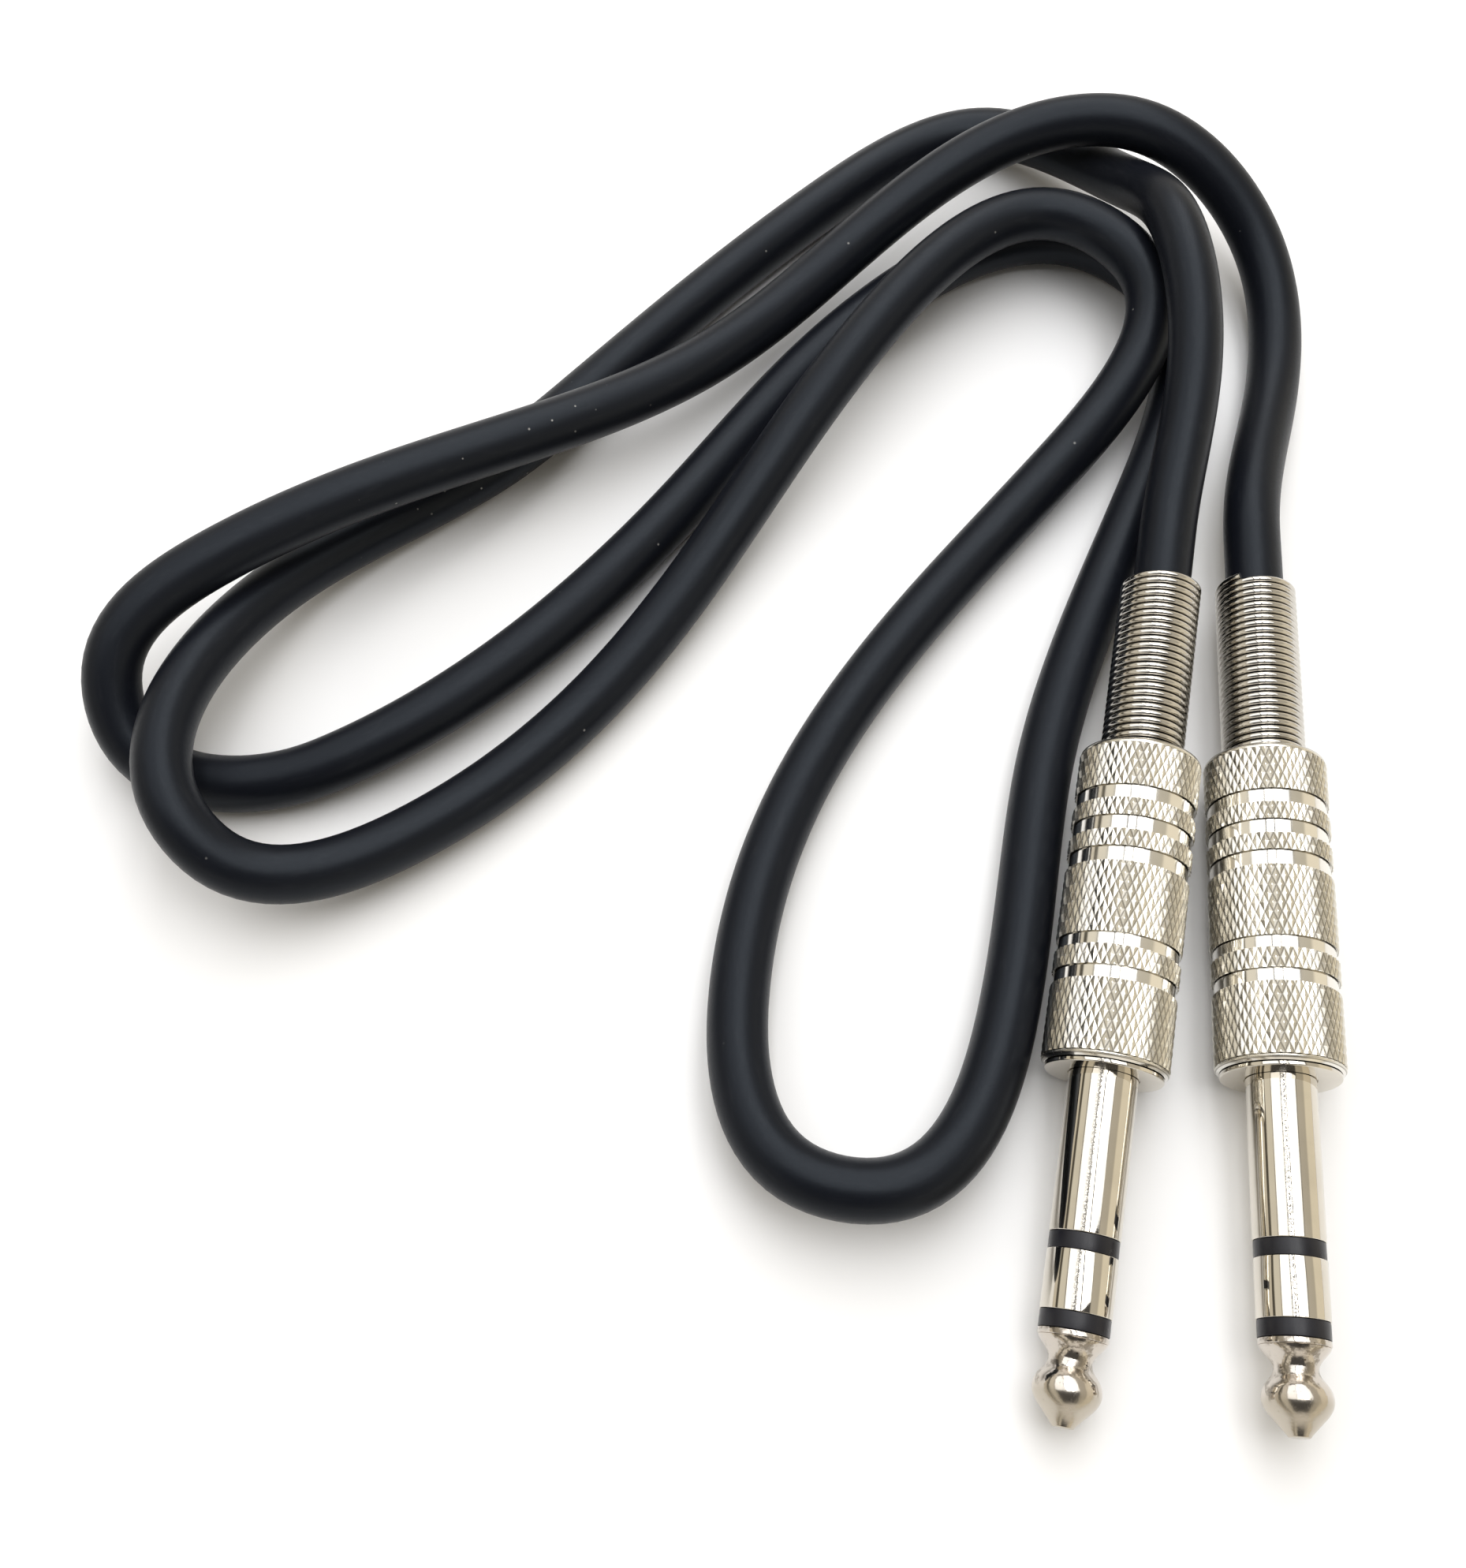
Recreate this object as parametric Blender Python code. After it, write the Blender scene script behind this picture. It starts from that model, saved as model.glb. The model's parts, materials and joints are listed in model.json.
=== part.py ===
"""Instrument cable: a round jacketed cable with a three-contact 6.35 mm plug on each end.

World frame: +Z up, the surface that the cable lies on is Z = 0, the plugs' tips point to -Y and
the cable leaves them towards +Y. The origin is under the middle of the two plugs.

Each plug is modelled along its own axis: local +Z runs from the tip (0) back to the cable, and
local +Y is up. An empty on the axis carries each plug's fixed pieces, and two more carry what
moves: the strain relief, which slides, and the barrel, which turns on the screw thread.

Lengths in the constants are in millimetres. MM turns them into Blender's metres.
"""

import math

import bmesh
import bpy
from mathutils import Matrix, Vector

MM = 0.001
GAP = 0.2

# Standard plug sizes, from the tip (0) back along the axis
SHANK_RADIUS = 3.175
TIP_FLAT_RADIUS = 0.95
BALL_RADIUS = 3.0
NECK_RADIUS = 1.92
LIP_RADIUS = 3.1
LIP_BACK = 7.9
RING_FRONT = 9.4
RING_BACK = 14.6
SHANK_FRONT = 16.1
FLANGE_FACE = 30.7
FLANGE_BACK = 31.05
FLANGE_RADIUS = 5.45

# Rod and tubes that carry the contacts back through the shank
ROD_RADIUS = 0.55
TUBE_WALL = 0.35
ROD_BACK = 43.8

# Stack of lugs and washers behind the collar
COLLAR_BACK = 39.3
LUG_PLATE = 0.4
REAR_WASHER_PLATE = 0.6
SPACER_PLATE = 0.5
GROUND_FRONT = COLLAR_BACK + GAP
WASHER_FRONT = GROUND_FRONT + LUG_PLATE + GAP
RING_LUG_FRONT = WASHER_FRONT + REAR_WASHER_PLATE + GAP
SPACER_FRONT = RING_LUG_FRONT + LUG_PLATE + GAP
TIP_LUG_FRONT = SPACER_FRONT + SPACER_PLATE + GAP

# Screwed joint between the collar and the barrel
COLLAR_ROOT = 4.35
COLLAR_CREST = 4.95
BARREL_CREST = 4.65
BARREL_GROOVE = 5.15
PITCH = 1.5
TURNS = 4
LEAD_IN = 1
THREAD_FRONT = 32.5
THREAD_OVERLAP = 0.15
RIDGE_HALF_ROOT = 0.29
RIDGE_HALF_CREST = 0.08
CUT_HALF_ROOT = 0.4
CUT_HALF_CREST = 0.2

# Barrel
BARREL_RADIUS = 5.88
BARREL_FRONT = 31.25
BARREL_BACK = 62.7
BARREL_BORE = 4.85
BORE_FRONT = 39.8
BORE_CHAMFER = 0.4
TAIL_WALL_FRONT = 59.2
TAIL_HOLE = 4.27
GROOVE_DEPTH = 0.1
BARREL_GROOVES = ((38.5, 39.75), (41.7, 42.9), (49.9, 51.4), (53.1, 54.55), (56.3, 57.7))

# Strain relief
SPRING_RADIUS = 4.05
SPRING_BORE = 3.35
SPRING_SEAT_RADIUS = 4.55
SPRING_FRONT = 57.8
LINER_BORE = 4.2
LINER_RADIUS = 4.55
LINER_FRONT = 41.0
LINER_BACK = 57.5

# Cable
CABLE_RADIUS = 2.9
CABLE_START = 51.4
CABLE_POINTS = 76
LONG_STEP = 19.0
TURN_STEP = math.radians(24)
CLAMP_FRONT = 52.0
CLAMP_BACK = 57.0
CLAMP_SLOT_HALF = 1.5
GROUND_RADIUS = 4.0
GROUND_ARM_HALF = 1.2
WASHER_RADIUS = 3.0
SPACER_RADIUS = 2.1
RING_LUG_RADIUS = 2.9
TIP_LUG_RADIUS = 1.9
LUG_REACH = 4.5
LUG_HALF_WIDTH = 0.8
WIRE_RADIUS = 0.45
DRAIN_RADIUS = 0.55
WIRE_POINTS = 6

# Where each core and the shield start, at a lug, and end, at the cable: across, up, along
WIRES = (
    ("ring_wire", "white_core", WIRE_RADIUS, (1.95, 0.0, 46.0), (1.1, 0.6, 51.2)),
    ("tip_wire", "red_core", WIRE_RADIUS, (-1.0, 0.0, 47.6), (-1.1, 0.6, 51.2)),
    ("shield_drain", "copper", DRAIN_RADIUS, (0.0, -2.45, 46.7), (0.0, -1.3, 51.2)),
)

# Where each plug lies: tip end, heading towards +X from +Y, rise of the tail, back of its spring
PLUGS = {
    "a": {"tip": (-14.1, -40.28, 4.22), "heading": 11.21, "rise": 3.06, "spring_back": 82.5},
    "b": {"tip": (5.5, -41.18, 5.88), "heading": 4.8, "rise": 0.0, "spring_back": 83.2},
}
CABLE_LEAVES = {"a": 89.1, "b": 89.9}

# Route of the free cable from plug a to plug b, over the surface and over itself
ROUTE = (
    (7.5, 67.0, 12.4), (6.5, 87.5, 12.8), (3.5, 96.5, 7.6), (-10.5, 108.0, 3.6),
    (-31.0, 97.5, 3.0), (-59.0, 69.0, 3.0), (-68.0, 60.0, 3.0), (-90.0, 42.5, 5.2),
    (-95.0, 13.5, 9.8), (-91.5, 10.5, 8.0), (-73.0, 15.5, 3.8), (-42.5, 50.0, 5.2),
    (-27.0, 73.0, 9.0), (-3.0, 89.5, 8.8), (4.0, 83.0, 8.4), (-7.5, 57.5, 4.0),
    (-24.5, 37.5, 3.0), (-41.5, -0.5, 4.2), (-36.5, -19.0, 6.4), (-28.0, -20.5, 6.4),
    (-16.0, -3.0, 3.8), (-10.5, 23.0, 3.0), (2.0, 54.0, 3.0), (6.0, 86.0, 3.0),
    (-0.5, 91.0, 3.0), (-26.5, 80.5, 3.0), (-48.0, 54.0, 3.2), (-82.0, 23.0, 3.8),
    (-86.0, 21.5, 3.4), (-102.5, 24.0, 4.8), (-104.5, 31.0, 9.0), (-94.5, 42.0, 12.0),
    (-46.0, 70.5, 6.6), (-34.5, 81.5, 5.8), (-0.5, 101.0, 12.4), (4.0, 100.0, 12.8),
    (19.0, 87.5, 5.8), (19.0, 70.5, 3.0),
)

# Surface finishes: colour, roughness, metallic
FINISHES = {
    "nickel": ((0.74, 0.71, 0.66), 0.22, 1.0),
    "steel": ((0.60, 0.60, 0.60), 0.3, 1.0),
    "brass": ((0.78, 0.60, 0.28), 0.35, 1.0),
    "insulator": ((0.02, 0.025, 0.035), 0.45, 0.0),
    "liner": ((0.75, 0.76, 0.74), 0.4, 0.0),
    "jacket": ((0.012, 0.012, 0.014), 0.5, 0.0),
    "red_core": ((0.55, 0.03, 0.03), 0.45, 0.0),
    "white_core": ((0.80, 0.80, 0.78), 0.45, 0.0),
    "copper": ((0.80, 0.42, 0.25), 0.3, 1.0),
}

SEGMENTS = 20
SMOOTH_ANGLE = math.radians(35)
MERGE = 1e-7


def clear_scene():
    for obj in list(bpy.data.objects):
        bpy.data.objects.remove(obj, do_unlink=True)


def finish(name):
    """The Principled material of one of the FINISHES."""
    material = bpy.data.materials.get(name)
    if material:
        return material
    material = bpy.data.materials.new(name)
    material.use_nodes = True
    shader = material.node_tree.nodes["Principled BSDF"]
    colour, roughness, metallic = FINISHES[name]
    shader.inputs["Base Color"].default_value = (*colour, 1.0)
    shader.inputs["Roughness"].default_value = roughness
    shader.inputs["Metallic"].default_value = metallic
    return material


def add_object(name, mesh, finish_name, parent):
    """Link a smooth-shaded object under a plug's empty."""
    mesh.materials.append(finish(finish_name))
    mesh.shade_smooth()
    mesh.set_sharp_from_angle(angle=SMOOTH_ANGLE)
    obj = bpy.data.objects.new(name, mesh)
    bpy.context.scene.collection.objects.link(obj)
    obj.parent = parent
    return obj


def to_mesh(name, shape):
    """Close a bmesh shape: merge what meets on the axis and face everything outwards."""
    bmesh.ops.remove_doubles(shape, verts=shape.verts, dist=MERGE)
    bmesh.ops.dissolve_degenerate(shape, edges=shape.edges, dist=MERGE)
    bmesh.ops.recalc_face_normals(shape, faces=shape.faces)
    mesh = bpy.data.meshes.new(name)
    shape.to_mesh(mesh)
    shape.free()
    return mesh


def turned(name, outline, finish_name, parent):
    """Spin a closed outline of (distance along the axis, radius) points round the axis."""
    shape = bmesh.new()
    ring = [shape.verts.new((radius * MM, 0, along * MM)) for along, radius in outline]
    edges = [shape.edges.new((a, b)) for a, b in zip(ring, ring[1:] + ring[:1])]
    bmesh.ops.spin(shape, geom=ring + edges, cent=(0, 0, 0), axis=(0, 0, 1),
                   angle=math.tau, steps=SEGMENTS, use_merge=True)
    flat = [edge for edge in shape.edges if edge.calc_length() < MERGE]
    bmesh.ops.collapse(shape, edges=flat)
    return add_object(name, to_mesh(name, shape), finish_name, parent)


def ring_outline(front, back, bore, radius):
    """Outline of a plain washer or tube."""
    return [(front, bore), (front, radius), (back, radius), (back, bore)]


def arc(centre_along, centre_radius, size, start, end, steps):
    """Outline points on an arc, its angles in degrees from the axis towards the outside."""
    points = []
    for step in range(steps + 1):
        angle = math.radians(start + (end - start) * step / steps)
        points.append((centre_along + size * math.cos(angle), centre_radius + size * math.sin(angle)))
    return points


def thread(front, turns, inner, outer, half_root, half_crest):
    """A helical ridge of trapezoid section, as a closed bmesh shape."""
    shape = bmesh.new()
    section = ((inner, -half_root), (outer, -half_crest), (outer, half_crest), (inner, half_root))
    corners = [shape.verts.new((radius * MM, 0, (front + along) * MM)) for radius, along in section]
    face = shape.faces.new(corners)
    steps = turns * SEGMENTS
    advance = Vector((0, 0, PITCH * MM / SEGMENTS))
    bmesh.ops.spin(shape, geom=[face] + list(face.edges) + corners, cent=(0, 0, 0), axis=(0, 0, 1),
                   dvec=advance, angle=math.tau * turns, steps=steps, use_duplicate=False)
    ends = [edge for edge in shape.edges if edge.is_boundary]
    if ends:
        bmesh.ops.holes_fill(shape, edges=ends, sides=4)
    return to_mesh("thread", shape)


def box_mesh(low, high):
    """A closed box between two corners, in millimetres."""
    shape = bmesh.new()
    size = [(b - a) * MM for a, b in zip(low, high)]
    middle = [(a + b) / 2 * MM for a, b in zip(low, high)]
    place = Matrix.Translation(middle) @ Matrix.Diagonal((*size, 1.0))
    bmesh.ops.create_cube(shape, size=1.0, matrix=place)
    return to_mesh("box", shape)


def combine(obj, tool_mesh, operation):
    """Join or cut an object with a tool mesh in the same local frame."""
    tool = bpy.data.objects.new("tool", tool_mesh)
    bpy.context.scene.collection.objects.link(tool)
    tool.parent = obj.parent
    tool.hide_render = True
    tool.display_type = "WIRE"
    modifier = obj.modifiers.new(operation.lower(), "BOOLEAN")
    modifier.operation = operation
    modifier.solver = "EXACT"
    modifier.object = tool
    bpy.context.view_layer.update()
    graph = bpy.context.evaluated_depsgraph_get()
    result = bpy.data.meshes.new_from_object(obj.evaluated_get(graph), depsgraph=graph)
    obj.modifiers.clear()
    obj.data = result
    result.shade_smooth()
    result.set_sharp_from_angle(angle=SMOOTH_ANGLE)
    bpy.data.objects.remove(tool, do_unlink=True)


def make_tip_contact(plug, parent):
    """Nose, ball, neck and lip, with the rod that runs back to the tip lug."""
    ball_middle = 3.0
    neck = 5.5
    lip_front = 7.35
    outline = [(0.0, 0.0), (0.0, TIP_FLAT_RADIUS), (2.2, 2.9)]
    outline += [(2.5, 2.97), (ball_middle, BALL_RADIUS), (3.45, 2.95), (3.95, 2.78), (4.4, 2.47)]
    outline += [(4.85, 2.12), (neck, NECK_RADIUS), (5.95, 2.04), (6.35, 2.3), (6.85, 2.74)]
    outline += [(lip_front, LIP_RADIUS), (LIP_BACK, LIP_RADIUS), (LIP_BACK, ROD_RADIUS)]
    outline += [(ROD_BACK, ROD_RADIUS), (ROD_BACK, 0.0)]
    turned(f"tip_contact_{plug}", outline, "nickel", parent)


def banded_tube(name, finish_name, parent, band_front, band_back, band_radius, bore, tube_back):
    """A contact or insulator: a band seen on the shank, with a thin tube running back inside."""
    tube_radius = bore + TUBE_WALL
    outline = [(band_front, bore), (band_front, band_radius), (band_back, band_radius)]
    outline += [(band_back, tube_radius), (tube_back, tube_radius), (tube_back, bore)]
    turned(name, outline, finish_name, parent)


def make_contact_stack(plug, parent):
    """The insulators and the ring contact, nested round the rod."""
    front_bore = ROD_RADIUS + GAP
    ring_bore = front_bore + TUBE_WALL + GAP
    rear_bore = ring_bore + TUBE_WALL + GAP
    band = LIP_RADIUS - 0.05
    banded_tube(f"front_insulator_{plug}", "insulator", parent,
                LIP_BACK + GAP, RING_FRONT - GAP / 2, band, front_bore, TIP_LUG_FRONT - GAP)
    banded_tube(f"ring_contact_{plug}", "nickel", parent,
                RING_FRONT + GAP / 2, RING_BACK - GAP / 2, SHANK_RADIUS, ring_bore, SPACER_FRONT - GAP)
    banded_tube(f"rear_insulator_{plug}", "insulator", parent,
                RING_BACK + GAP / 2, SHANK_FRONT - GAP / 2, band, rear_bore, WASHER_FRONT - GAP)


def make_sleeve_contact(plug, parent):
    """Long shank, flange and the collar with the external thread."""
    bore = ROD_RADIUS + 3 * (GAP + TUBE_WALL) + GAP
    edge = 0.15
    outline = [(SHANK_FRONT + GAP / 2, bore), (SHANK_FRONT + GAP / 2, SHANK_RADIUS)]
    outline += [(FLANGE_FACE, SHANK_RADIUS), (FLANGE_FACE, FLANGE_RADIUS - edge)]
    outline += [(FLANGE_FACE + edge, FLANGE_RADIUS), (FLANGE_BACK, FLANGE_RADIUS)]
    outline += [(FLANGE_BACK, COLLAR_ROOT), (COLLAR_BACK, COLLAR_ROOT), (COLLAR_BACK, bore)]
    sleeve = turned(f"sleeve_contact_{plug}", outline, "nickel", parent)
    ridge = thread(THREAD_FRONT, TURNS, COLLAR_ROOT - THREAD_OVERLAP, COLLAR_CREST,
                   RIDGE_HALF_ROOT, RIDGE_HALF_CREST)
    combine(sleeve, ridge, "UNION")


def make_barrel(plug, parent):
    """Knurled shell: threaded at the front, plain bore, tail wall with the cable's hole."""
    rim = 0.45
    round_rim = 0.6
    outline = [(BARREL_FRONT, BARREL_CREST), (BARREL_FRONT, BARREL_RADIUS - rim / 2)]
    outline += [(BARREL_FRONT + rim, BARREL_RADIUS)]
    for front, back in BARREL_GROOVES:
        low = BARREL_RADIUS - GROOVE_DEPTH
        outline += [(front, BARREL_RADIUS), (front + GROOVE_DEPTH, low)]
        outline += [(back - GROOVE_DEPTH, low), (back, BARREL_RADIUS)]
    outline += arc(BARREL_BACK - round_rim, BARREL_RADIUS - round_rim, round_rim, 90, 0, 2)
    outline += [(BARREL_BACK, TAIL_HOLE), (TAIL_WALL_FRONT, TAIL_HOLE)]
    outline += [(TAIL_WALL_FRONT, BARREL_BORE), (BORE_FRONT, BARREL_BORE)]
    outline += [(BORE_FRONT - BORE_CHAMFER, BARREL_CREST)]
    barrel = turned(f"barrel_{plug}", outline, "nickel", parent)
    groove = thread(THREAD_FRONT - LEAD_IN * PITCH, TURNS + 2 * LEAD_IN,
                    BARREL_CREST - THREAD_OVERLAP, BARREL_GROOVE, CUT_HALF_ROOT, CUT_HALF_CREST)
    combine(barrel, groove, "DIFFERENCE")


def make_strain_relief(plug, parent, spring_back):
    """The close-wound spring, with its wide seat inside the barrel's tail, and the liner."""
    seat_back = TAIL_WALL_FRONT - GAP
    outline = [(SPRING_FRONT, SPRING_BORE), (SPRING_FRONT, SPRING_SEAT_RADIUS)]
    outline += [(seat_back, SPRING_SEAT_RADIUS), (seat_back, SPRING_RADIUS)]
    outline += [(spring_back, SPRING_RADIUS), (spring_back, SPRING_BORE)]
    turned(f"strain_relief_spring_{plug}", outline, "steel", parent)
    turned(f"liner_{plug}", ring_outline(LINER_FRONT, LINER_BACK, LINER_BORE, LINER_RADIUS),
           "liner", parent)


def make_lugs(plug, parent):
    """Ground lug with its clamp, the two solder lugs and the two washers that part them."""
    front_tube = ROD_RADIUS + GAP + TUBE_WALL
    ring_tube = front_tube + GAP + TUBE_WALL
    rear_tube = ring_tube + GAP + TUBE_WALL
    clamp_bore = CABLE_RADIUS + GAP
    clamp_radius = clamp_bore + LUG_PLATE
    outline = ring_outline(GROUND_FRONT, GROUND_FRONT + LUG_PLATE, rear_tube + GAP, GROUND_RADIUS)
    ground = turned(f"ground_clamp_{plug}", outline, "nickel", parent)
    arm = box_mesh((-GROUND_ARM_HALF, -clamp_radius + 0.01, GROUND_FRONT + LUG_PLATE / 2),
                   (GROUND_ARM_HALF, -clamp_bore - 0.03, CLAMP_BACK - 0.5))
    combine(ground, arm, "UNION")
    outline = ring_outline(CLAMP_FRONT, CLAMP_BACK, clamp_bore, clamp_radius)
    clamp = turned("clamp_ring", outline, "nickel", parent)
    opening = box_mesh((-CLAMP_SLOT_HALF, 0.5, CLAMP_FRONT - 1),
                       (CLAMP_SLOT_HALF, clamp_radius + 1, CLAMP_BACK + 1))
    combine(clamp, opening, "DIFFERENCE")
    clamp_mesh = clamp.data.copy()
    bpy.data.objects.remove(clamp, do_unlink=True)
    combine(ground, clamp_mesh, "UNION")

    outline = ring_outline(WASHER_FRONT, WASHER_FRONT + REAR_WASHER_PLATE, ring_tube + GAP,
                           WASHER_RADIUS)
    turned(f"rear_washer_{plug}", outline, "insulator", parent)
    make_lug(f"ring_lug_{plug}", parent, RING_LUG_FRONT, ring_tube + GAP, RING_LUG_RADIUS, side=1)
    outline = ring_outline(SPACER_FRONT, SPACER_FRONT + SPACER_PLATE, front_tube + GAP, SPACER_RADIUS)
    turned(f"lug_spacer_{plug}", outline, "insulator", parent)
    make_lug(f"tip_lug_{plug}", parent, TIP_LUG_FRONT, ROD_RADIUS + GAP, TIP_LUG_RADIUS, side=-1)


def make_lug(name, parent, front, bore, radius, side):
    """A washer with a solder tab bent back on one side of the axis."""
    outline = ring_outline(front, front + LUG_PLATE, bore, radius)
    lug = turned(name, outline, "brass", parent)
    inner = side * (radius - LUG_PLATE)
    outer = side * (radius - 0.05)
    low = (min(inner, outer), -LUG_HALF_WIDTH, front + LUG_PLATE / 2)
    high = (max(inner, outer), LUG_HALF_WIDTH, front + LUG_REACH)
    combine(lug, box_mesh(low, high), "UNION")


def smooth_line(knots, start_direction, end_direction):
    """A finely divided smooth curve through the knots.

    The curve is the cubic spline whose knots are spaced by their distances. Its tangents at the
    knots solve the spline's tridiagonal equations. The two end tangents are given.
    """
    spans = [(b - a).length for a, b in zip(knots, knots[1:])]
    last = len(knots) - 1
    upper = [0.0] * (last + 1)
    tangents = [start_direction] + [None] * (last - 1) + [end_direction]
    for i in range(1, last):
        before, after = spans[i - 1], spans[i]
        arriving = (knots[i] - knots[i - 1]) / before
        leaving = (knots[i + 1] - knots[i]) / after
        pivot = 2 * (before + after) - after * upper[i - 1]
        upper[i] = before / pivot
        tangents[i] = (3 * (after * arriving + before * leaving) - after * tangents[i - 1]) / pivot
    for i in range(last - 1, 0, -1):
        tangents[i] = tangents[i] - upper[i] * tangents[i + 1]
    fine = []
    steps = 40
    for i, span in enumerate(spans):
        for step in range(steps):
            fine.append(hermite(knots[i], knots[i + 1], tangents[i] * span, tangents[i + 1] * span,
                                step / steps))
    fine.append(knots[-1])
    return fine


def hermite(start, end, start_pull, end_pull, t):
    """A point of the cubic with the given ends and end tangents."""
    rise = t * t * (3 - 2 * t)
    leave = t * (1 - t) * (1 - t)
    arrive = t * t * (t - 1)
    return start * (1 - rise) + end * rise + start_pull * leave + end_pull * arrive


def thin_out(fine, count):
    """Pick points from a finely divided line, closer together where it bends."""
    travelled = [0.0]
    for i in range(1, len(fine)):
        step = fine[i] - fine[i - 1]
        bend = step.angle(fine[i + 1] - fine[i]) if i < len(fine) - 1 else 0.0
        travelled.append(travelled[-1] + step.length / (LONG_STEP * MM) + bend / TURN_STEP)
    points = []
    place = 0
    for number in range(count):
        target = travelled[-1] * number / (count - 1)
        while place < len(fine) - 2 and travelled[place + 1] < target:
            place += 1
        share = (target - travelled[place]) / (travelled[place + 1] - travelled[place])
        points.append(fine[place].lerp(fine[place + 1], share))
    return points


def tube(name, points, radius, finish_name, parent=None, roundness=3):
    """A round tube with closed ends along a line of points, in metres."""
    curve = bpy.data.curves.new(name, "CURVE")
    curve.dimensions = "3D"
    curve.bevel_depth = radius * MM
    curve.bevel_resolution = roundness
    curve.use_fill_caps = True
    line = curve.splines.new("POLY")
    line.points.add(len(points) - 1)
    for spot, point in zip(line.points, points):
        spot.co = (*point, 1.0)
    line.use_smooth = True
    curve.materials.append(finish(finish_name))
    obj = bpy.data.objects.new(name, curve)
    bpy.context.scene.collection.objects.link(obj)
    obj.parent = parent
    return obj


def make_wires(plug, parent):
    """The two insulated cores and the twisted shield, from their lugs to the cable's end."""
    back = Vector((0, 0, 1))
    for name, finish_name, radius, start, end in WIRES:
        knots = [Vector(start) * MM, Vector(end) * MM]
        points = thin_out(smooth_line(knots, back, back), WIRE_POINTS)
        tube(f"{name}_{plug}", points, radius, finish_name, parent, 2)


def plug_matrix(place):
    """Local +Z along the plug's axis to the cable, local +Y up, origin at the tip."""
    heading = math.radians(place["heading"])
    rise = math.radians(place["rise"])
    level = math.cos(rise)
    axis = Vector((math.sin(heading) * level, math.cos(heading) * level, math.sin(rise)))
    side = Vector((0, 0, 1)).cross(axis).normalized()
    up = axis.cross(side)
    frame = Matrix((side, up, axis)).transposed().to_4x4()
    return Matrix.Translation(Vector(place["tip"]) * MM) @ frame


def add_empty(name, parent, matrix=None):
    empty = bpy.data.objects.new(name, None)
    bpy.context.scene.collection.objects.link(empty)
    empty.parent = parent
    if matrix:
        empty.matrix_world = matrix
    return empty


def make_plug(plug):
    """All pieces of one plug, under empties that lie on its axis."""
    place = PLUGS[plug]
    base = add_empty(f"plug_{plug}", None, plug_matrix(place))
    slide = add_empty(f"relief_travel_{plug}", base)
    turn = add_empty(f"barrel_unscrew_{plug}", slide)
    make_tip_contact(plug, base)
    make_contact_stack(plug, base)
    make_sleeve_contact(plug, base)
    make_lugs(plug, base)
    make_wires(plug, base)
    make_strain_relief(plug, slide, place["spring_back"])
    make_barrel(plug, turn)


def make_cable():
    """One jacket from the clamp in plug a to the clamp in plug b."""
    ends = {}
    for plug, place in PLUGS.items():
        frame = plug_matrix(place)
        leaves = frame @ (Vector((0, 0, CABLE_LEAVES[plug])) * MM)
        start = frame @ (Vector((0, 0, CABLE_START)) * MM)
        ends[plug] = (start, leaves, (leaves - start).normalized())
    start_a, leaves_a, out_a = ends["a"]
    start_b, leaves_b, out_b = ends["b"]
    knots = [leaves_a] + [Vector(point) * MM for point in ROUTE] + [leaves_b]
    free = thin_out(smooth_line(knots, out_a, -out_b), CABLE_POINTS)
    inside_a = [start_a.lerp(leaves_a, share) for share in (0.0, 0.5)]
    inside_b = [leaves_b.lerp(start_b, share) for share in (0.5, 1.0)]
    tube("cable_jacket", inside_a + free + inside_b, CABLE_RADIUS, "jacket")


clear_scene()
for plug_name in PLUGS:
    make_plug(plug_name)
make_cable()
bpy.context.view_layer.update()
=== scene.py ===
"""Looks of the instrument cable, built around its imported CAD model.

The visible pieces of both plugs are rebuilt at full detail on the plugs' own axes: turned contacts,
a barrel with cut diamond knurling, and a wound spring. The hidden pieces keep their CAD shapes. The
cable is one smooth tube through the route's points. Lengths below are in metres unless a name
ends in _mm; distances along a plug are in millimetres from its tip.
"""

import json
import math

import bmesh
import bpy
from mathutils import Matrix, Vector, noise


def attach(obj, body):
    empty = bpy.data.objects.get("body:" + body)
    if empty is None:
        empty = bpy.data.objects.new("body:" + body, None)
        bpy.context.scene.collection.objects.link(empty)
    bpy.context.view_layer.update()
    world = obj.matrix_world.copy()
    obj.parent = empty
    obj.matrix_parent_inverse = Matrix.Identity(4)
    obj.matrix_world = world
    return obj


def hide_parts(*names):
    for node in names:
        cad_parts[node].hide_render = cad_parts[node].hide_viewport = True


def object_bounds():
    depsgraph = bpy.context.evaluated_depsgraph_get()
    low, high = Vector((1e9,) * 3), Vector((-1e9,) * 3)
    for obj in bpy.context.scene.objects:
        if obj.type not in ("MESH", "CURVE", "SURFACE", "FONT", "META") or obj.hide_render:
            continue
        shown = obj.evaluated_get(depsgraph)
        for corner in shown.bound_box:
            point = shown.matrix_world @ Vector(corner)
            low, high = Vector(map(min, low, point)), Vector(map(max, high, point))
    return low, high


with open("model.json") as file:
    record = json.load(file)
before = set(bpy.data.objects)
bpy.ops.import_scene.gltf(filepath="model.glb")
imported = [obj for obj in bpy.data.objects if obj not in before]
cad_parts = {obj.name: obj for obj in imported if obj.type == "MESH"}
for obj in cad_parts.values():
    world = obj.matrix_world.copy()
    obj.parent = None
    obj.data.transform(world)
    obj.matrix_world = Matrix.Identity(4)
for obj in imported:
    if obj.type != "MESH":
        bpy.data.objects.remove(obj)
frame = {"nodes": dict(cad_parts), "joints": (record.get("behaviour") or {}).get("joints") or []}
cad_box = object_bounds()

MM = 0.001
BASE_BODY = "cable_and_contacts"
PLUGS = "ab"

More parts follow.
